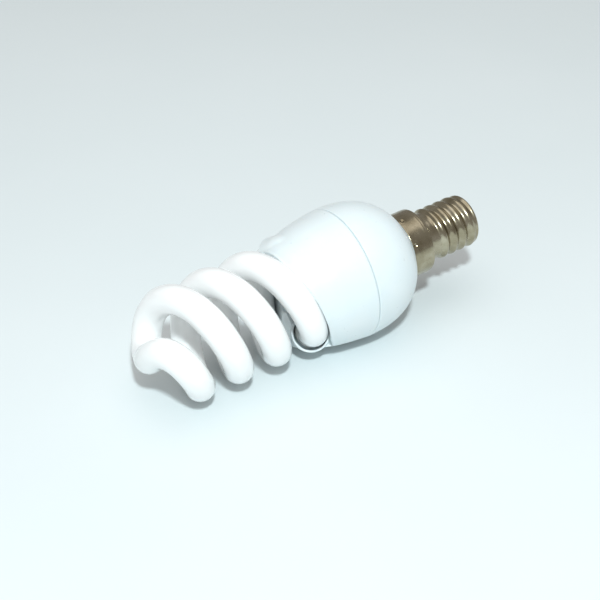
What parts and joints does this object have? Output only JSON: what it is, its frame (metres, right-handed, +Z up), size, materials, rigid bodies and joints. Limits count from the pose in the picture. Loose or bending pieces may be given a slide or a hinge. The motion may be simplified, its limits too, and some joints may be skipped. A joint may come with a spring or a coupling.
{
  "type": "spiral compact fluorescent bulb",
  "caption": "White double spiral discharge tube on a domed plastic housing with sealed ballast and small screw cap, lying on its side as a replaceable light source.",
  "frame": {"origin": "middle of the footprint on the surface it lies on", "axes": "+Z up, X along the lamp with the spiral's tip towards -X and the screw cap towards +X"},
  "size_m": [0.0984, 0.0342, 0.0342],
  "materials": {
    "white_glass": "satin",
    "housing": "satin",
    "cap_metal": "satin",
    "insulator": "satin",
    "contact": "satin",
    "cement": "matte",
    "board": "satin",
    "capacitor_sleeve": "satin",
    "ferrite": "matte",
    "copper": "gloss",
    "toroid": "satin",
    "black_epoxy": "satin",
    "red_film": "gloss",
    "green_film": "gloss",
    "tan_lacquer": "satin",
    "sleeve": "matte",
    "leads": "satin",
    "blue_wire": "satin"
  },
  "bodies": {
    "root": {"spiral_tube": "white_glass", "upper_housing": "housing", "lower_housing": "housing", "screw_shell": "cap_metal", "cap_insulator": "insulator", "centre_contact": "contact", "tube_cement_a": "cement", "tube_cement_b": "cement", "ballast_board": "board", "smoothing_capacitor": "capacitor_sleeve", "choke_core": "ferrite", "choke_winding": "copper", "drive_toroid": "toroid", "transistor_a": "black_epoxy", "transistor_b": "black_epoxy", "resonance_capacitor": "red_film", "start_capacitor": "green_film", "rectifier_diodes": "black_epoxy", "resistors": "tan_lacquer", "fuse_resistor": "sleeve", "filter_inductor": "ferrite", "board_pins": "leads", "filament_leads": "leads", "live_wire": "copper", "neutral_wire": "blue_wire"}
  },
  "joints": []
}
